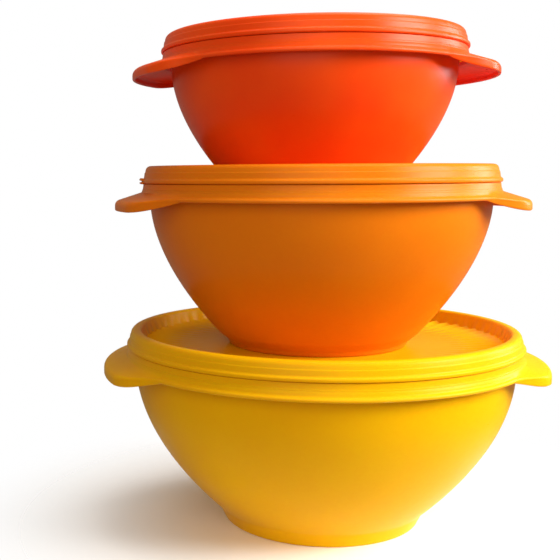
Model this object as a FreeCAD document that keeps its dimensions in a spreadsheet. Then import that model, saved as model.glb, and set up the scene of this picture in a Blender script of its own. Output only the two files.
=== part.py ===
import FreeCAD, Part
import math
import os

# A set of three nesting bowls, each with a press-on lid, stacked foot-in-lid.
# Frame: +Z up, origin on the table under the middle of the largest bowl, millimetres.
# The largest bowl's two handles lie along X.

doc = FreeCAD.newDocument("bowl_set")

# ---------------------------------------------------------------- sizes

sheet = doc.addObject("Spreadsheet::Sheet", "sizes")
sheetRow = [0]


def put(alias, value, note=""):
    """Writes one named value in the sheet."""
    sheetRow[0] += 1
    sheet.set("A%d" % sheetRow[0], alias)
    sheet.set("B%d" % sheetRow[0], repr(float(value)))
    sheet.set("C%d" % sheetRow[0], note)
    sheet.setAlias("B%d" % sheetRow[0], alias)


# Each size: lid bead, foot to lip, foot, wall crease, wall fullness, handles, and its place on the stack.
put("largeBead", 118.0, "radius over the large lid's bead")
put("largeLip", 97.0, "foot to underside of the large bowl's lip")
put("largeFoot", 58.4, "radius of the large bowl's foot where it stands")
put("largeCrease", 62.8, "radius where the large bowl's wall meets its foot")
put("largeCreaseHeight", 8.5, "height of that crease")
put("largeFullness", 1.95, "how early the large bowl's wall turns upright")
put("largeInset", 4.9, "bead radius less the wall radius at the lip")
put("largeHandle", 11.5, "reach of the large handle past the lip")
put("largeFlat", 19.0, "half angle of the large handle's outer edge, degrees")
put("largeRoot", 42.0, "half angle where the large handle leaves the lip, degrees")
put("largeOffset", 0.0, "how far off the stack's middle the large bowl stands, along X")

put("middleBead", 105.4)
put("middleLip", 86.9)
put("middleFoot", 52.5)
put("middleCrease", 59.8)
put("middleCreaseHeight", 7.6)
put("middleFullness", 1.8)
put("middleInset", 4.9)
put("middleHandle", 13.5)
put("middleFlat", 21.0)
put("middleRoot", 45.0)
put("middleOffset", -2.8)

put("smallBead", 89.4)
put("smallLip", 65.7)
put("smallFoot", 50.5)
put("smallCrease", 56.0)
put("smallCreaseHeight", 7.0)
put("smallFullness", 1.78)
put("smallInset", 6.1)
put("smallHandle", 14.5)
put("smallFlat", 24.0)
put("smallRoot", 50.0)
put("smallOffset", -6.6)

# Shared by all three sizes.
put("wall", 2.2, "wall of a bowl")
put("lipReach", 2.5, "lip radius less the bead radius")
put("rimInset", 3.2, "bead radius less the rim radius inside the lid")
put("bandHeight", 9.5, "lip underside to the lid's lower edge")
put("lidHeight", 10.2, "lid's lower edge to its top")
put("recess", 9.6, "depth of the seat in the top of a lid")
put("lidWall", 1.6, "wall of a lid")
put("gap", 0.5, "side play between a lid and its bowl")
put("seatGap", 0.1, "play under a lid's channel")
put("ringWidth", 9.0, "width of the raised ring round a lid")
put("pleats", 72.0, "pleats round a lid's panel")
put("pleatHeight", 0.8, "height of a pleat")
put("handleDrop", 6.2, "handle skirt below the lip")
put("handleTop", 3.9, "handle's root above the lip")
put("handleUnder", 4.6, "depth of the hollow under a handle")
put("handleFall", 0.32, "fall of a handle's top outward, per unit")
put("handleWall", 1.8, "wall of a handle")
put("handleRound", 1.6, "rounding of a handle's outer top edge")
put("thumbTab", 3.2, "reach of a lid's thumb tab past its bead")
doc.recompute()


def v(alias):
    """The value of one cell."""
    return float(sheet.get(alias))


# Where each bowl stands.
rise = {"large": 0.0}
rise["middle"] = v("largeLip") + v("bandHeight") + v("lidHeight") - v("recess")
rise["small"] = rise["middle"] + v("middleLip") + v("bandHeight") + v("lidHeight") - v("recess")

# ---------------------------------------------------------------- helpers


def plane(body, role):
    """One of the body's own planes."""
    for feature in body.Origin.OriginFeatures:
        if feature.Role == role:
            return feature
    raise ValueError(role)


def newSketch(body, role, name, height=0.0):
    """An empty sketch on one of the body's planes, lifted by height."""
    sketch = body.newObject("Sketcher::SketchObject", name)
    sketch.AttachmentSupport = [(plane(body, role), "")]
    sketch.MapMode = "FlatFace"
    sketch.AttachmentOffset = FreeCAD.Placement(
        FreeCAD.Vector(0, 0, height), FreeCAD.Rotation(0, 0, 0)
    )
    return sketch


def point(x, y):
    """A point in a sketch."""
    return FreeCAD.Vector(x, y, 0)


def addLoop(sketch, corners, radii=None):
    """A closed run of straight lines through corners; a corner with a radius is rounded with an arc."""
    count = len(corners)
    radii = radii or [0.0] * count
    starts = []
    ends = []
    for i in range(count):
        here = point(*corners[i])
        before = point(*corners[i - 1])
        after = point(*corners[(i + 1) % count])
        if radii[i] <= 0:
            starts.append(here)
            ends.append(here)
            continue
        towardBefore = (before - here).normalize()
        towardAfter = (after - here).normalize()
        half = towardBefore.getAngle(towardAfter) / 2.0
        reach = radii[i] / math.tan(half)
        first = here + towardBefore * reach
        last = here + towardAfter * reach
        bisector = (towardBefore + towardAfter).normalize()
        centre = here + bisector * (radii[i] / math.sin(half))
        middle = centre - bisector * radii[i]
        sketch.addGeometry(Part.Arc(first, middle, last), False)
        starts.append(first)
        ends.append(last)
    for i in range(count):
        a = ends[i]
        b = starts[(i + 1) % count]
        if (b - a).Length > 1e-6:
            sketch.addGeometry(Part.LineSegment(a, b), False)


def addCurve(sketch, points):
    """One smooth curve through points."""
    curve = Part.BSplineCurve()
    curve.interpolate([point(*p) for p in points])
    sketch.addGeometry(curve, False)


def addLines(sketch, points):
    """An open run of straight lines."""
    for a, b in zip(points[:-1], points[1:]):
        sketch.addGeometry(Part.LineSegment(point(*a), point(*b)), False)


def revolve(body, sketch, name, kind="PartDesign::Revolution"):
    """Turns a sketch of the X-Z plane once round the upright axis."""
    feature = body.newObject(kind, name)
    feature.Profile = sketch
    feature.ReferenceAxis = (sketch, ["V_Axis"])
    feature.Angle = 360.0
    sketch.Visibility = False
    body.Tip = feature
    return feature


def extrude(body, sketch, name, length, kind="PartDesign::Pad", flip=False):
    """A pad or pocket of a length given as an expression on the sheet."""
    feature = body.newObject(kind, name)
    feature.Profile = sketch
    feature.Type = 0
    feature.setExpression("Length", length)
    feature.Reversed = flip
    sketch.Visibility = False
    body.Tip = feature
    return feature


def setStand(body, size, lift):
    """Puts a body on the stack: its height, and how far off the middle it stands."""
    body.Placement = FreeCAD.Placement(FreeCAD.Vector(0, 0, lift), FreeCAD.Rotation(0, 0, 0))
    body.setExpression("Placement.Base.x", "sizes.%sOffset" % size)


# ---------------------------------------------------------------- bowls


def wallPoints(size, inset):
    """Points up the side of a bowl, moved inward by inset square to the wall."""
    crease = v(size + "Crease")
    creaseHeight = v(size + "CreaseHeight")
    top = v(size + "Bead") - v(size + "Inset")
    lip = v(size + "Lip")
    fullness = v(size + "Fullness")
    points = []
    steps = 10
    for i in range(steps + 1):
        t = i / steps
        r = crease + (top - crease) * (1.0 - (1.0 - t) ** fullness)
        z = creaseHeight + (lip - creaseHeight) * t
        slopeR = (top - crease) * fullness * (1.0 - t) ** (fullness - 1.0)
        slopeZ = lip - creaseHeight
        length = math.hypot(slopeR, slopeZ)
        points.append((r - inset * slopeZ / length, z + inset * slopeR / length))
    return points


def bowlProfile(sketch, size):
    """The bowl cut through its middle: foot, wall, lip band and rim."""
    wall = v("wall")
    bead = v(size + "Bead")
    lip = v(size + "Lip")
    foot = v(size + "Foot")
    crease = v(size + "Crease")
    creaseHeight = v(size + "CreaseHeight")
    side = bead - v(size + "Inset")
    rim = bead - v("rimInset")
    lidEdge = lip + v("bandHeight")
    rimTop = lidEdge + v("lidHeight") - 3.1
    outer = wallPoints(size, 0.0)
    inner = wallPoints(size, wall)
    floorLow = 4.0
    floorHigh = floorLow + wall
    footInside = foot - 2.0
    # foot ring and floor
    addLines(
        sketch,
        [
            (0.0, floorHigh),
            (0.0, floorLow),
            (footInside, floorLow),
            (footInside, 0.0),
            (foot, 0.0),
            (foot + 1.0, 1.0),
            outer[0],
        ],
    )
    addCurve(sketch, outer)
    # band below the lid, hollow behind, with a rolled lip at its lower edge
    lipOut = bead + v("lipReach")
    addLines(
        sketch,
        [
            outer[-1],
            (side + 0.6, lip + 5.2),
            (side + 1.4, lip + 6.4),
            (bead - 0.3, lip + 6.0),
            (bead + 0.6, lip + 1.4),
            (bead + 0.9, lip + 0.4),
            (bead + 1.7, lip),
            (lipOut - 0.3, lip + 0.3),
            (lipOut, lip + 1.2),
            (lipOut - 0.6, lip + 2.1),
            (bead + 0.9, lip + 4.0),
            (bead - 0.6, lidEdge - 1.6),
            (bead - 1.3, lidEdge - 0.8),
            (rim, lidEdge - 0.8),
            (rim - 1.6, rimTop - 0.5),
            (rim - 2.1, rimTop),
            (rim - 2.8, rimTop),
            (rim - 3.3, rimTop - 0.5),
            (rim - 2.9, lidEdge - 2.0),
            inner[-1],
        ],
    )
    addCurve(sketch, list(reversed(inner)))
    # inside corner between wall and floor
    addCurve(
        sketch,
        [
            inner[0],
            (foot - 3.2, floorHigh + 0.9),
            (foot - 9.0, floorHigh),
        ],
    )
    addLines(sketch, [(foot - 9.0, floorHigh), (0.0, floorHigh)])


def handleRadius(size, angle):
    """How far a handle reaches at an angle from its middle: full, then a smooth fall to the lip."""
    lipOut = v(size + "Bead") + v("lipReach")
    t = (v(size + "Root") - abs(angle)) / (v(size + "Root") - v(size + "Flat"))
    t = min(max(t, 0.0), 1.0)
    return lipOut + v(size + "Handle") * t * t * (3.0 - 2.0 * t)


def addHandles(sketch, size, inset, inner, beyond):
    """Both handles seen from above, moved inward by inset and closed behind by an arc."""
    last = v(size + "Root") + beyond
    steps = 24
    for turn in (0.0, 180.0):
        points = []
        for i in range(steps + 1):
            angle = -last + 2.0 * last * i / steps
            r = handleRadius(size, angle) - inset
            a = math.radians(angle + turn)
            points.append((r * math.cos(a), r * math.sin(a)))
        addCurve(sketch, points)
        ends = []
        for angle in (-last, 0.0, last):
            a = math.radians(angle + turn)
            ends.append(point(inner * math.cos(a), inner * math.sin(a)))
        sketch.addGeometry(Part.Arc(ends[0], ends[1], ends[2]), False)
        sketch.addGeometry(Part.LineSegment(ends[2], point(*points[-1])), False)
        sketch.addGeometry(Part.LineSegment(ends[0], point(*points[0])), False)


def topEdges(shape, size, lift):
    """Names of the two long edges where the handles' tops meet their outer sides."""
    lipOut = v(size + "Bead") + v("lipReach")
    names = []
    for i, edge in enumerate(shape.Edges):
        middle = edge.valueAt((edge.FirstParameter + edge.LastParameter) / 2.0)
        reach = math.hypot(middle.x, middle.y)
        high = lift + v(size + "Lip") - 1.2
        if edge.Length > 60.0 and reach > lipOut + 3.0 and middle.z > high:
            names.append("Edge%d" % (i + 1))
    return names


def makeBowl(size):
    """One bowl as a body: turned shell, two hollow handles."""
    body = doc.addObject("PartDesign::Body", size + "_bowl")
    body.Label = size + "_bowl"
    setStand(body, size, rise[size])
    profile = newSketch(body, "XZ_Plane", size + "BowlProfile")
    bowlProfile(profile, size)
    revolve(body, profile, size + "BowlShell")
    lip = v(size + "Lip")
    side = v(size + "Bead") - v(size + "Inset")
    low = lip - v("handleDrop")
    outline = newSketch(body, "XY_Plane", size + "HandleOutline", low)
    addHandles(outline, size, 0.0, side - 1.0, 0.0)
    extrude(body, outline, size + "Handles", "sizes.handleDrop + sizes.handleTop")
    # the top of a handle falls away outward
    slope = newSketch(body, "XZ_Plane", size + "HandleSlope")
    high = lip + v("handleTop") + 0.1
    start = v(size + "Bead") + 0.9
    reach = 30.0
    addLines(
        slope,
        [
            (start, high),
            (start + reach, high - reach * v("handleFall")),
            (start + reach, high + 6.0),
            (start, high + 6.0),
            (start, high),
        ],
    )
    revolve(body, slope, size + "HandleTop", "PartDesign::Groove")
    hollow = newSketch(body, "XY_Plane", size + "HandleHollow", low)
    addHandles(hollow, size, v("handleWall"), side + 0.8, -4.0)
    under = extrude(
        body, hollow, size + "HandleUnderside", "sizes.handleUnder", "PartDesign::Pocket", True
    )
    doc.recompute()
    edges = topEdges(under.Shape, size, 0.0)
    soft = body.newObject("PartDesign::Fillet", size + "HandleEdges")
    soft.Base = (under, edges)
    soft.setExpression("Radius", "sizes.handleRound")
    body.Tip = soft
    return body


# ---------------------------------------------------------------- lids


def lidProfile(sketch, size):
    """The lid cut through its middle, from its lower edge at height zero."""
    bead = v(size + "Bead")
    high = v("lidHeight")
    lidWall = v("lidWall")
    rim = bead - v("rimInset")
    panel = high - v("recess")
    roof = high - 3.1 + v("seatGap")
    ringIn = bead - v("ringWidth")
    addLines(
        sketch,
        [
            (0.0, panel - lidWall),
            (ringIn - 2.9, panel - lidWall),
            (ringIn + 0.9, panel + 0.4),
            (ringIn + 1.2, roof),
            (rim - 1.2 + v("gap"), roof),
            (rim + v("gap"), 0.0),
            (bead - 0.7, 0.0),
            (bead, 0.7),
            (bead, 1.7),
            (bead - 0.8, 2.5),
            (bead - 1.1, 3.0),
            (bead - 2.3, high - 2.8),
            (bead - 3.2, high - 0.9),
            (bead - 4.8, high),
            (ringIn + 1.3, high),
            (ringIn, high - 0.9),
            (ringIn - 0.6, high - 2.4),
            (ringIn - 1.4, panel + 1.2),
            (ringIn - 2.4, panel),
            (0.0, panel),
            (0.0, panel - lidWall),
        ],
    )


def makeLid(size, tabTurn):
    """One lid as a body: turned channel and panel, pleats round the panel, one thumb tab."""
    body = doc.addObject("PartDesign::Body", size + "_lid")
    body.Label = size + "_lid"
    setStand(body, size, rise[size] + v(size + "Lip") + v("bandHeight"))
    profile = newSketch(body, "XZ_Plane", size + "LidProfile")
    lidProfile(profile, size)
    revolve(body, profile, size + "LidShell")
    bead = v(size + "Bead")
    panel = v("lidHeight") - v("recess")
    outerEnd = bead - v("ringWidth") - 2.0
    innerEnd = outerEnd * 0.64
    pleatSketch = newSketch(body, "XY_Plane", size + "PleatLines", panel)
    count = int(v("pleats"))
    for i in range(count):
        middle = 2.0 * math.pi * i / count
        wide = 0.25 * 2.0 * math.pi / count
        corners = [
            (innerEnd * math.cos(middle), innerEnd * math.sin(middle)),
            (outerEnd * math.cos(middle - wide), outerEnd * math.sin(middle - wide)),
            (outerEnd * math.cos(middle + wide), outerEnd * math.sin(middle + wide)),
        ]
        addLoop(pleatSketch, corners)
    extrude(body, pleatSketch, size + "Pleats", "sizes.pleatHeight")
    # thumb tab: a short ledge on the bead, hollow below
    tab = newSketch(body, "XY_Plane", size + "ThumbOutline", 0.3)
    turn = math.radians(tabTurn)
    reach = bead + v("thumbTab")
    corners = []
    for r, y in ((bead - 1.4, -13.0), (reach, -8.0), (reach, 8.0), (bead - 1.4, 13.0)):
        corners.append(
            (r * math.cos(turn) - y * math.sin(turn), r * math.sin(turn) + y * math.cos(turn))
        )
    addLoop(tab, corners, [0.0, 3.0, 3.0, 0.0])
    extrude(body, tab, size + "ThumbTab", "sizes.lidWall")
    return body


bodies = []
thumbTurn = {"large": 120.0, "middle": 186.0, "small": 60.0}
for size in ("large", "middle", "small"):
    bodies.append(makeBowl(size))
    bodies.append(makeLid(size, thumbTurn[size]))
doc.recompute()

# ---------------------------------------------------------------- checks and files

for item in doc.Objects:
    if "Invalid" in item.State or "Error" in item.State:
        raise RuntimeError("%s did not build: %s" % (item.Label, item.State))

os.makedirs("parts", exist_ok=True)
for body in bodies:
    shape = body.Shape
    if shape.isNull() or not shape.isValid():
        raise RuntimeError("bad shape: " + body.Label)
    if len(shape.Solids) != 1:
        raise RuntimeError("%s has %d solids" % (body.Label, len(shape.Solids)))
    shape.exportStep("parts/%s.step" % body.Label)
    box = shape.BoundBox
    print(
        "%s  x %.1f..%.1f  y %.1f..%.1f  z %.1f..%.1f  volume %.0f"
        % (body.Label, box.XMin, box.XMax, box.YMin, box.YMax, box.ZMin, box.ZMax, shape.Volume)
    )
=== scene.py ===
import math

import bmesh
import bpy
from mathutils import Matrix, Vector


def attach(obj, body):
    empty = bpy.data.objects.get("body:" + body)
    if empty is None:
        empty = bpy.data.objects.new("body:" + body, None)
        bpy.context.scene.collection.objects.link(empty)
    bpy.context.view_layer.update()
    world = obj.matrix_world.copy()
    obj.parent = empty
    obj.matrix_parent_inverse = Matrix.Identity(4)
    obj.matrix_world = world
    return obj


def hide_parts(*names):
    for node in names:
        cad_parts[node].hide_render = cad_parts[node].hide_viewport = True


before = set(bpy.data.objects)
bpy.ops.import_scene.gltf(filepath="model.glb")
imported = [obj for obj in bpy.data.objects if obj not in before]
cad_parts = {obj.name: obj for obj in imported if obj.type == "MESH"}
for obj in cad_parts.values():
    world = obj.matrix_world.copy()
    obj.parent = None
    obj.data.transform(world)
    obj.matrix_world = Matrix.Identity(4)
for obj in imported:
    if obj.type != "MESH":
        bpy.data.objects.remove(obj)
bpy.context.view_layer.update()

mm = 0.001
print("frame loaded:", ", ".join(sorted(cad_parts)))


# every round piece is turned from a profile, in this many equal sectors
sectors = 18
cornerSegments = 5
weldDistance = 2e-6
onAxisReach = 1e-8
sharpAngle = 42.0

def turnProfile(corners, steps):
    # corners are (radius, height, softness) in mm, from the axis round to the axis again
    bm = bmesh.new()
    ring = [bm.verts.new((r * mm, 0.0, z * mm)) for r, z, soft in corners]
    bm.faces.new(ring)
    for amount in sorted({soft for r, z, soft in corners if soft > 0.0}):
        chosen = [v for v, corner in zip(ring, corners) if corner[2] == amount]
        bmesh.ops.bevel(
            bm, geom=chosen, offset=amount * mm, offset_type="OFFSET",
            segments=cornerSegments,
            profile=0.5, affect="VERTICES", material=-1, clamp_overlap=False,
        )
    bmesh.ops.delete(bm, geom=bm.faces[:], context="FACES_ONLY")
    onAxis = [e for e in bm.edges if all(abs(v.co.x) < onAxisReach for v in e.verts)]
    bmesh.ops.delete(bm, geom=onAxis, context="EDGES")
    # one sector is turned, then copied round: a full turn in one go is much slower
    sector = 2 * math.pi / sectors
    bmesh.ops.spin(
        bm, geom=bm.verts[:] + bm.edges[:], cent=(0, 0, 0), axis=(0, 0, 1), dvec=(0, 0, 0),
        angle=sector, steps=steps // sectors, use_merge=False, use_normal_flip=False,
        use_duplicate=False,
    )
    bmesh.ops.spin(
        bm, geom=bm.verts[:] + bm.edges[:] + bm.faces[:], cent=(0, 0, 0), axis=(0, 0, 1),
        dvec=(0, 0, 0), angle=sector * (sectors - 1), steps=sectors - 1, use_merge=False,
        use_normal_flip=False, use_duplicate=True,
    )
    bmesh.ops.remove_doubles(bm, verts=bm.verts[:], dist=weldDistance)
    return bm


def finishPiece(bm, name, offset, rise, body, node, material):
    bmesh.ops.recalc_face_normals(bm, faces=bm.faces[:])
    bmesh.ops.translate(bm, verts=bm.verts[:], vec=(offset * mm, 0.0, rise * mm))
    mesh = bpy.data.meshes.new(name)
    bm.to_mesh(mesh)
    bm.free()
    mesh.polygons.foreach_set("use_smooth", [True] * len(mesh.polygons))
    mesh.set_sharp_from_angle(angle=math.radians(sharpAngle))
    mesh.materials.append(material)
    piece = bpy.data.objects.new(name, mesh)
    bpy.context.collection.objects.link(piece)
    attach(piece, body)
    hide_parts(node)
    return piece


def smoothStep(t):
    t = min(max(t, 0.0), 1.0)
    return t * t * (3.0 - 2.0 * t)


def addNode(tree, kind, **values):
    made = tree.nodes.new(kind)
    for key, value in values.items():
        if hasattr(made, key):
            setattr(made, key, value)
        else:
            made.inputs[key.replace("_", " ")].default_value = value
    return made


def satinPlastic(name, look):
    material = bpy.data.materials.new(name)
    material.use_nodes = True
    tree = material.node_tree
    tree.nodes.clear()
    link = tree.links.new
    place = addNode(tree, "ShaderNodeTexCoord")
    # slow clouds where the pigment is denser, and a fine fleck
    cloud = addNode(
        tree, "ShaderNodeTexNoise", Scale=look["cloudScale"], Detail=3.0, Roughness=0.55,
    )
    fleck = addNode(tree, "ShaderNodeTexNoise", Scale=look["fleckScale"], Detail=2.0, Roughness=0.6)
    link(place.outputs["Object"], cloud.inputs["Vector"])
    link(place.outputs["Object"], fleck.inputs["Vector"])
    tint = addNode(tree, "ShaderNodeMix", data_type="RGBA")
    tint.inputs[6].default_value = (*look["deep"], 1.0)
    tint.inputs[7].default_value = (*look["base"], 1.0)
    spread = addNode(tree, "ShaderNodeMapRange")
    spread.inputs["From Min"].default_value = look["cloudLow"]
    spread.inputs["From Max"].default_value = look["cloudHigh"]
    link(cloud.outputs["Fac"], spread.inputs["Value"])
    link(spread.outputs["Result"], tint.inputs[0])
    flecked = addNode(tree, "ShaderNodeMix", data_type="RGBA", blend_type="OVERLAY")
    flecked.inputs[0].default_value = look["fleckAmount"]
    link(tint.outputs[2], flecked.inputs[6])
    link(fleck.outputs["Fac"], flecked.inputs[7])
    # handling wear: edges a little paler
    shape = addNode(tree, "ShaderNodeNewGeometry")
    edge = addNode(tree, "ShaderNodeMapRange")
    edge.inputs["From Min"].default_value = look["edgeLow"]
    edge.inputs["From Max"].default_value = look["edgeHigh"]
    edge.inputs["To Max"].default_value = look["edgeWear"]
    link(shape.outputs["Pointiness"], edge.inputs["Value"])
    patchy = addNode(tree, "ShaderNodeMath", operation="MULTIPLY")
    link(edge.outputs["Result"], patchy.inputs[0])
    link(spread.outputs["Result"], patchy.inputs[1])
    worn = addNode(tree, "ShaderNodeMix", data_type="RGBA")
    worn.inputs[7].default_value = (*look["pale"], 1.0)
    link(patchy.outputs[0], worn.inputs[0])
    link(flecked.outputs[2], worn.inputs[6])
    # long fine scuffs from stacking, and the faint orange peel of the mould
    stretch = addNode(tree, "ShaderNodeMapping")
    stretch.inputs["Scale"].default_value = look["scuffStretch"]
    link(place.outputs["Object"], stretch.inputs["Vector"])
    scuff = addNode(tree, "ShaderNodeTexNoise", Scale=1.0, Detail=4.0, Roughness=0.65)
    link(stretch.outputs["Vector"], scuff.inputs["Vector"])
    gloss = addNode(tree, "ShaderNodeMapRange")
    gloss.inputs["From Min"].default_value = 0.25
    gloss.inputs["From Max"].default_value = 0.75
    gloss.inputs["To Min"].default_value = look["roughLow"]
    gloss.inputs["To Max"].default_value = look["roughHigh"]
    link(scuff.outputs["Fac"], gloss.inputs["Value"])
    peel = addNode(tree, "ShaderNodeTexNoise", Scale=look["peelScale"], Detail=2.0, Roughness=0.5)
    link(place.outputs["Object"], peel.inputs["Vector"])
    peelBump = addNode(tree, "ShaderNodeBump", Strength=look["peelStrength"], Distance=0.0004)
    link(peel.outputs["Fac"], peelBump.inputs["Height"])
    scuffBump = addNode(tree, "ShaderNodeBump", Strength=look["scuffStrength"], Distance=0.0002)
    link(scuff.outputs["Fac"], scuffBump.inputs["Height"])
    link(peelBump.outputs["Normal"], scuffBump.inputs["Normal"])
    shader = addNode(tree, "ShaderNodeBsdfPrincipled")
    shader.inputs["IOR"].default_value = look["refraction"]
    shader.inputs["Specular IOR Level"].default_value = look["specular"]
    shader.inputs["Subsurface Weight"].default_value = look["glow"]
    shader.inputs["Subsurface Radius"].default_value = look["glowRadius"]
    shader.inputs["Subsurface Scale"].default_value = look["glowScale"]
    link(worn.outputs[2], shader.inputs["Base Color"])
    link(gloss.outputs["Result"], shader.inputs["Roughness"])
    link(scuffBump.outputs["Normal"], shader.inputs["Normal"])
    output = addNode(tree, "ShaderNodeOutputMaterial")
    link(shader.outputs["BSDF"], output.inputs["Surface"])
    return material


commonLook = {
    "cloudScale": 11.0, "cloudLow": 0.30, "cloudHigh": 0.62,
    "fleckScale": 420.0, "fleckAmount": 0.05,
    "edgeLow": 0.52, "edgeHigh": 0.60, "edgeWear": 0.35,
    "scuffStretch": (90.0, 90.0, 420.0), "scuffStrength": 0.02,
    "roughLow": 0.27, "roughHigh": 0.35, "peelScale": 160.0, "peelStrength": 0.05,
    "refraction": 1.5, "specular": 0.09,
    "glow": 0.15, "glowRadius": (1.0, 0.25, 0.06), "glowScale": 0.006,
}
yellowLook = dict(
    commonLook, specular=0.05,
    base=(0.82, 0.435, 0.0020), deep=(0.79, 0.390, 0.0026), pale=(0.90, 0.55, 0.10),
)
orangeLook = dict(
    commonLook,
    base=(0.74, 0.190, 0.0040), deep=(0.71, 0.162, 0.0032), pale=(0.88, 0.32, 0.07),
)
redLook = dict(
    commonLook, specular=0.14,
    base=(0.86, 0.082, 0.0040), deep=(0.82, 0.048, 0.0030), pale=(0.88, 0.18, 0.09),
)
yellowPlastic = satinPlastic("yellowPlastic", yellowLook)
orangePlastic = satinPlastic("orangePlastic", orangeLook)
redPlastic = satinPlastic("redPlastic", redLook)
print("materials made: yellow, orange and red plastic")


# sizes of the bowls in mm
bowlCommon = {
    "wall": 2.2, "floorLow": 4.0, "band": 9.5, "rimHeight": 7.1, "rimInset": 3.2, "lipReach": 2.5,
    "handleSlope": 0.32, "handleRound": 3.4, "handleSkirt": 6.2, "handleWall": 1.8,
    "handleEase": 0.6, "handleSideRound": 1.4, "steps": 360,
}
largeBowl = dict(
    bowlCommon, bead=118.0, lip=97.0, foot=58.4, crease=62.8, creaseHeight=8.5, inset=4.9,
    fullness=1.95, handleReach=11.5, handleFlat=22.0, handleRoot=38.0, offset=0.0, rise=0.0,
)
middleBowl = dict(
    bowlCommon, bead=105.4, lip=86.9, foot=52.5, crease=59.8, creaseHeight=7.6, inset=4.9,
    fullness=1.8, handleReach=13.5, handleFlat=23.5, handleRoot=41.0, offset=-2.8, rise=107.1,
)
smallBowl = dict(
    bowlCommon, bead=89.4, lip=65.7, foot=50.5, crease=56.0, creaseHeight=7.0, inset=6.1,
    fullness=1.78, handleReach=14.5, handleFlat=26.5, handleRoot=45.0, offset=-6.6, rise=204.1,
)


def wallCurve(bowl, inset, count):
    # up the side from the crease at the foot to the lip, moved in square to the wall
    top = bowl["bead"] - bowl["inset"]
    tall = bowl["lip"] - bowl["creaseHeight"]
    points = []
    for i in range(count + 1):
        t = i / count
        left = (1.0 - t) ** bowl["fullness"]
        r = bowl["crease"] + (top - bowl["crease"]) * (1.0 - left)
        z = bowl["creaseHeight"] + tall * t
        lean = (top - bowl["crease"]) * bowl["fullness"] * (1.0 - t) ** (bowl["fullness"] - 1.0)
        size = math.hypot(lean, tall)
        points.append((r - inset * tall / size, z + inset * lean / size))
    return points


plainLip = [
    (0.30, 4.20), (0.42, 3.50), (0.62, 2.94), (0.98, 2.50), (1.48, 2.24),
    (2.02, 2.04), (2.36, 1.64), (2.50, 1.10), (2.42, 0.62), (2.22, 0.30),
    (2.10, 0.20), (1.98, 0.12), (1.86, 0.06),
    (1.74, 0.02), (1.62, 0.00), (1.50, 0.01), (1.38, 0.05),
    (1.26, 0.15), (1.12, 0.30), (0.98, 0.48),
    (0.90, 0.64), (0.84, 0.80),
    (0.78, 1.00), (0.70, 1.20), (0.60, 1.42), (0.48, 1.66), (0.34, 1.92),
    (0.10, 2.40),
]


# the run of points that is drawn down sooner than out, and where the broad rounding begins
lastRoundPoint = 9
skirtEase = 0.6
crispShare = 0.72


def fullHandle(bowl, outer):
    # the same run of points as plainLip, drawn out into the handle: top, round, skirt, hollow
    tip = bowl["lipReach"] + bowl["handleReach"]
    slope = bowl["handleSlope"]
    wall = bowl["handleWall"]
    inner = max(outer - wall, 0.3)
    tilt = math.atan(slope)
    middleR = tip - outer
    middleZ = 4.2 - slope * (middleR - 0.3) - outer / math.cos(tilt)
    low = -bowl["handleSkirt"]
    run = []
    topEnd = middleR + outer * math.sin(tilt)
    for share in (0.0, 0.28, 0.55, 0.80, 1.0):
        r = 0.3 + (topEnd - 0.3) * share
        run.append((r, 4.2 - slope * (r - 0.3)))
    for angle in (60.0, 46.0, 31.0, 16.0, 0.0):
        a = math.radians(angle)
        run.append((middleR + outer * math.cos(a), middleZ + outer * math.sin(a)))
    for share in (0.35, 0.70, 1.0):
        run.append((tip, middleZ + (low + 0.7 - middleZ) * share))
    run += [(tip - 0.2, low + 0.2), (tip - 0.65, low), (tip - 1.15, low), (tip - 1.6, low + 0.2)]
    innerZ = min(middleZ, middleZ + outer - wall - inner)
    run += [(tip - wall, low + 0.7), (tip - wall, low + 1.6), (tip - wall, innerZ)]
    innerR = tip - wall - inner
    for angle in (36.0, 72.0):
        a = math.radians(angle)
        run.append((innerR + inner * math.cos(a), innerZ + inner * math.sin(a)))
    for share in (0.12, 0.35, 0.60, 0.82, 1.0):
        r = innerR + (0.5 - innerR) * share
        run.append((r, 4.2 - slope * (r - 0.3) - wall / math.cos(tilt)))
    run.append((0.15, 2.7))
    return run


def handleShare(bowl, angle):
    # nought along the plain lip, one along the middle of either handle
    away = abs((math.degrees(angle) + 90.0) % 180.0 - 90.0)
    t = (bowl["handleRoot"] - away) / (bowl["handleRoot"] - bowl["handleFlat"])
    t = min(max(t, 0.0), 1.0)
    return t - bowl["handleEase"] * math.sin(2.0 * math.pi * t) / (2.0 * math.pi)


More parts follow.
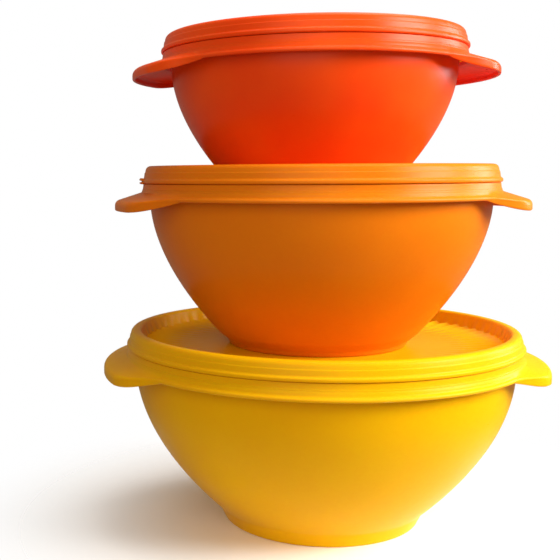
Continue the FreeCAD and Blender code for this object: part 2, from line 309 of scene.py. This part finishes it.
def bowlCorners(bowl):
    bead = bowl["bead"]
    lip = bowl["lip"]
    side = bead - bowl["inset"]
    rim = bead - bowl["rimInset"]
    rimTop = lip + bowl["band"] + bowl["rimHeight"]
    low = bowl["floorLow"]
    foot = bowl["foot"]
    outer = wallCurve(bowl, 0.0, 30)
    inner = wallCurve(bowl, bowl["wall"], 24)
    corners = [
        (0.0, low, 0.0), (foot * 0.55, low, 0.0), (foot - 4.2, low, 0.8), (foot - 3.4, 0.0, 0.5),
        (foot + 0.2, 0.0, 0.9), (foot + 1.6, 3.0, 1.2),
    ]
    corners += [(outer[0][0], outer[0][1], 1.4)]
    corners += [(r, z, 0.0) for r, z in outer[1:]]
    corners += [
        (side + 0.5, lip + 3.0, 0.0), (side + 0.9, lip + 6.2, 0.5), (bead - 0.4, lip + 6.2, 0.5),
    ]
    corners += [(bead + r, lip + z, 0.0) for r, z in reversed(plainLip)]
    corners += [
        (bead - 0.10, lip + 4.9, 0.0), (bead - 0.50, lip + 5.7, 0.0), (bead - 0.75, lip + 6.8, 0.0),
        (bead - 0.90, lip + 8.0, 0.0), (bead - 1.05, lip + 9.25, 0.2), (bead - 1.6, lip + 9.3, 0.2),
        (rim - 0.1, lip + 9.3, 0.3), (rim - 1.6, rimTop - 0.3, 0.5), (rim - 2.1, rimTop, 0.2),
        (rim - 2.8, rimTop, 0.2), (rim - 3.3, rimTop - 0.5, 0.2), (rim - 2.9, lip + 7.5, 0.6),
    ]
    corners += [(r, z, 0.0) for r, z in reversed(inner[1:])]
    corners += [
        (inner[0][0], inner[0][1], 1.0), (foot - 2.6, low + bowl["wall"] + 1.0, 1.0),
        (foot - 9.0, low + bowl["wall"], 2.0), (foot * 0.45, low + bowl["wall"], 0.0),
        (0.0, low + bowl["wall"], 0.0),
    ]
    return corners


def drawHandles(bm, bowl):
    broad = fullHandle(bowl, bowl["handleRound"])
    crisp = fullHandle(bowl, bowl["handleSideRound"])
    found = {}
    for k, (r, z) in enumerate(plainLip):
        key = (round((bowl["bead"] + r) * 100), round((bowl["lip"] + z) * 100))
        found[key] = k
    for v in bm.verts:
        reach = v.co.xy.length
        key = (round(reach / mm * 100), round(v.co.z / mm * 100))
        if key not in found:
            continue
        angle = math.atan2(v.co.y, v.co.x)
        share = handleShare(bowl, angle)
        if share <= 0.0:
            continue
        # the outer edge is broadly rounded, the two sides more crisply
        k = found[key]
        outward = smoothStep((share - crispShare) / (1.0 - crispShare))
        drawnR = crisp[k][0] + (broad[k][0] - crisp[k][0]) * outward
        drawnZ = crisp[k][1] + (broad[k][1] - crisp[k][1]) * outward
        r = bowl["bead"] + plainLip[k][0] + (drawnR - plainLip[k][0]) * share
        drop = share ** skirtEase if k > lastRoundPoint else share
        z = bowl["lip"] + plainLip[k][1] + (drawnZ - plainLip[k][1]) * drop
        v.co = (r * mm * math.cos(angle), r * mm * math.sin(angle), z * mm)


def makeBowl(bowl, name, node, material):
    bm = turnProfile(bowlCorners(bowl), bowl["steps"])
    drawHandles(bm, bowl)
    piece = finishPiece(bm, name, bowl["offset"], bowl["rise"], node, node, material)
    print("bowl made:", name, len(piece.data.polygons), "faces")
    return piece


makeBowl(largeBowl, "largeBowlShell", "large_bowl", yellowPlastic)
makeBowl(middleBowl, "middleBowlShell", "middle_bowl", orangePlastic)
makeBowl(smallBowl, "smallBowlShell", "small_bowl", redPlastic)


# sizes of the lids in mm, with turns in degrees; pleatStart is a share of the panel's radius
lidCommon = {
    "height": 10.2, "recess": 9.6, "wall": 1.6, "gap": 0.5, "seatGap": 0.1, "rimInset": 3.2,
    "ringWidth": 9.0, "panelInset": 2.4, "steps": 576,
    "pleats": 72, "pleatHeight": 2.6, "pleatStart": 0.76, "pleatFull": 0.96, "pleatFade": 5.0,
    "tabReach": 1.4, "tabMiddle": 1.2, "tabRise": 1.5, "tabDrop": 0.9, "tabHollow": 2.0,
    "tabHalf": 11.0, "tabFlat": 8.0, "beadDepth": 1.3, "beadTop": 3.2,
}
largeLid = dict(lidCommon, bead=118.0, tabTurn=120.0, offset=0.0, rise=106.5)
middleLid = dict(lidCommon, bead=105.4, tabTurn=186.0, offset=-2.8, rise=203.5)
smallLid = dict(lidCommon, bead=89.4, tabTurn=60.0, offset=-6.6, rise=279.3)


def lidCorners(lid):
    bead = lid["bead"]
    high = lid["height"]
    panel = high - lid["recess"]
    rim = bead - lid["rimInset"]
    roof = high - 3.1 + lid["seatGap"]
    ringIn = bead - lid["ringWidth"]
    base = ringIn - lid["panelInset"]
    corners = [
        (0.0, panel - lid["wall"], 0.0), (ringIn - 2.9, panel - lid["wall"], 0.8),
        (ringIn + 0.9, panel + 0.4, 0.8), (ringIn + 1.2, roof, 0.5),
        (rim - 1.2 + lid["gap"], roof, 0.5), (rim + lid["gap"], 0.0, 0.0),
        (bead - 0.6, 0.0, 0.25), (bead, 0.5, 0.3), (bead, lid["tabMiddle"], 0.0), (bead, 2.0, 0.5),
        (bead - 1.0, 2.6, 0.25),
        (bead - 1.35, 3.1, 0.3), (bead - 1.75, 6.0, 0.2), (bead - 2.1, 6.35, 0.2),
        (bead - 2.9, high, 2.3), (ringIn + 0.5, high, 1.5), (base, panel, 1.1),
    ]
    for share in (0.97, 0.93, 0.86, 0.79, 0.72, 0.66, 0.60, 0.45, 0.2):
        corners.append((base * share, panel, 0.0))
    corners.append((0.0, panel, 0.0))
    return corners


def foldPleats(bm, lid):
    panel = lid["height"] - lid["recess"]
    ringIn = lid["bead"] - lid["ringWidth"]
    base = ringIn - lid["panelInset"]
    for v in bm.verts:
        r = v.co.xy.length / mm
        z = v.co.z / mm
        if r > ringIn or z < panel - 0.05:
            continue
        turn = math.atan2(v.co.y, v.co.x) / (2.0 * math.pi) * lid["pleats"]
        wave = 1.0 - abs(2.0 * (turn % 1.0) - 1.0)
        along = (r / base - lid["pleatStart"]) / (lid["pleatFull"] - lid["pleatStart"])
        grown = min(max(along, 0.0), 1.0)
        fade = min(max(1.0 - (z - panel) / lid["pleatFade"], 0.0), 1.0)
        v.co.z += lid["pleatHeight"] * wave * grown * fade * mm


def drawTab(bm, lid):
    # the thumb tab: the bead drawn out into a short hollow ledge
    start = lid["bead"] - lid["beadDepth"]
    for v in bm.verts:
        r = v.co.xy.length / mm
        z = v.co.z / mm
        if r < start or z > lid["beadTop"]:
            continue
        angle = math.atan2(v.co.y, v.co.x)
        away = math.degrees(angle) - lid["tabTurn"]
        away = abs((away + 180.0) % 360.0 - 180.0)
        across = math.radians(away) * lid["bead"]
        share = smoothStep((lid["tabHalf"] - across) / (lid["tabHalf"] - lid["tabFlat"]))
        if share <= 0.0:
            continue
        out = min((r - start) / lid["beadDepth"], 1.0)
        # the ledge stands taller than the bead, with a hollow along its outer face
        fromMiddle = (z - lid["tabMiddle"]) / lid["tabMiddle"]
        r += lid["tabReach"] * share * out
        if abs(fromMiddle) < 0.05:
            r -= lid["tabHollow"] * share
        z += (lid["tabRise"] if fromMiddle > 0.0 else lid["tabDrop"]) * fromMiddle * share * out
        v.co = (r * mm * math.cos(angle), r * mm * math.sin(angle), z * mm)


def makeLid(lid, name, node, material):
    bm = turnProfile(lidCorners(lid), lid["steps"])
    foldPleats(bm, lid)
    drawTab(bm, lid)
    piece = finishPiece(bm, name, lid["offset"], lid["rise"], node, node, material)
    print("lid made:", name, len(piece.data.polygons), "faces")
    return piece


makeLid(largeLid, "largeLidShell", "large_lid", yellowPlastic)
makeLid(middleLid, "middleLidShell", "middle_lid", orangePlastic)
makeLid(smallLid, "smallLidShell", "small_lid", redPlastic)


stageSet = {
    "floorRadius": 1.6, "floorColour": (0.97, 0.97, 0.97), "fadeStart": 0.07, "fadeEnd": 0.24,
    "skyLight": 0.28, "skyTint": (1.0, 0.86, 0.70), "skySeen": 1.0,
}


def makeFloor():
    bm = bmesh.new()
    bmesh.ops.create_circle(bm, cap_ends=True, radius=stageSet["floorRadius"], segments=96)
    mesh = bpy.data.meshes.new("floor")
    bm.to_mesh(mesh)
    bm.free()
    floor = bpy.data.objects.new("floor", mesh)
    bpy.context.collection.objects.link(floor)
    material = bpy.data.materials.new("paleFloor")
    material.use_nodes = True
    tree = material.node_tree
    tree.nodes.clear()
    link = tree.links.new
    place = addNode(tree, "ShaderNodeTexCoord")
    away = addNode(tree, "ShaderNodeVectorMath", operation="LENGTH")
    fade = addNode(tree, "ShaderNodeMapRange", interpolation_type="SMOOTHSTEP")
    fade.inputs["From Min"].default_value = stageSet["fadeStart"]
    fade.inputs["From Max"].default_value = stageSet["fadeEnd"]
    paper = addNode(tree, "ShaderNodeBsdfPrincipled", Roughness=0.85)
    paper.inputs["Base Color"].default_value = (*stageSet["floorColour"], 1.0)
    paper.inputs["Specular IOR Level"].default_value = 0.1
    clear = addNode(tree, "ShaderNodeBsdfTransparent")
    mix = addNode(tree, "ShaderNodeMixShader")
    output = addNode(tree, "ShaderNodeOutputMaterial")
    link(place.outputs["Object"], away.inputs[0])
    link(away.outputs["Value"], fade.inputs["Value"])
    link(fade.outputs["Result"], mix.inputs["Fac"])
    link(paper.outputs["BSDF"], mix.inputs[1])
    link(clear.outputs["BSDF"], mix.inputs[2])
    link(mix.outputs["Shader"], output.inputs["Surface"])
    floor.data.materials.append(material)


def makeSky():
    world = bpy.data.worlds.new("studio")
    bpy.context.scene.world = world
    world.use_nodes = True
    tree = world.node_tree
    tree.nodes.clear()
    link = tree.links.new
    path = addNode(tree, "ShaderNodeLightPath")
    strength = addNode(tree, "ShaderNodeMix", data_type="FLOAT")
    strength.inputs[2].default_value = stageSet["skyLight"]
    strength.inputs[3].default_value = stageSet["skySeen"]
    tint = addNode(tree, "ShaderNodeMix", data_type="RGBA")
    tint.inputs[6].default_value = (*stageSet["skyTint"], 1.0)
    tint.inputs[7].default_value = (1.0, 1.0, 1.0, 1.0)
    link(path.outputs["Is Camera Ray"], tint.inputs[0])
    glow = addNode(tree, "ShaderNodeBackground")
    output = addNode(tree, "ShaderNodeOutputWorld")
    link(tint.outputs[2], glow.inputs["Color"])
    link(path.outputs["Is Camera Ray"], strength.inputs[0])
    link(strength.outputs[0], glow.inputs["Strength"])
    link(glow.outputs["Background"], output.inputs["Surface"])


lightAim = (0.0, 0.0, 0.15)
softLights = {
    "key": {"at": (1.00, -0.42, 0.66), "size": 0.60, "power": 24.0, "colour": (1.0, 0.98, 0.94)},
    "top": {"at": (0.20, 0.10, 1.10), "size": 0.80, "power": 9.0, "colour": (1.0, 0.95, 0.88)},
    "fill": {"at": (-0.25, -1.15, 0.58), "size": 1.00, "power": 6.6, "colour": (1.0, 0.86, 0.70)},
    "edge": {"at": (1.05, 0.35, 0.42), "size": 0.50, "power": 6.0, "colour": (1.0, 1.0, 1.0)},
}


def makeLight(name, light):
    data = bpy.data.lights.new(name, "AREA")
    data.shape = "SQUARE"
    data.size = light["size"]
    data.energy = light["power"]
    data.color = light["colour"]
    lamp = bpy.data.objects.new(name, data)
    lamp.location = light["at"]
    aim = Vector(lightAim) - Vector(light["at"])
    lamp.rotation_euler = aim.to_track_quat("-Z", "Y").to_euler()
    bpy.context.collection.objects.link(lamp)


cameraSet = {
    "at": (-0.0697, -0.5906, 0.2095), "angles": (83.77, 0.36, 1.24),
    "lens": 63.0, "sensor": 36.0, "shiftX": 0.17, "nearest": 0.01,
}


def makeCamera():
    data = bpy.data.cameras.new("studioCamera")
    data.lens = cameraSet["lens"]
    data.sensor_width = cameraSet["sensor"]
    data.shift_x = cameraSet["shiftX"]
    data.clip_start = cameraSet["nearest"]
    camera = bpy.data.objects.new("studioCamera", data)
    camera.location = cameraSet["at"]
    camera.rotation_euler = [math.radians(a) for a in cameraSet["angles"]]
    bpy.context.collection.objects.link(camera)
    bpy.context.scene.camera = camera


makeFloor()
makeSky()
for lightName, lightSet in softLights.items():
    makeLight(lightName, lightSet)
makeCamera()
bpy.context.scene.view_settings.view_transform = "Standard"
print("floor, light and camera made")
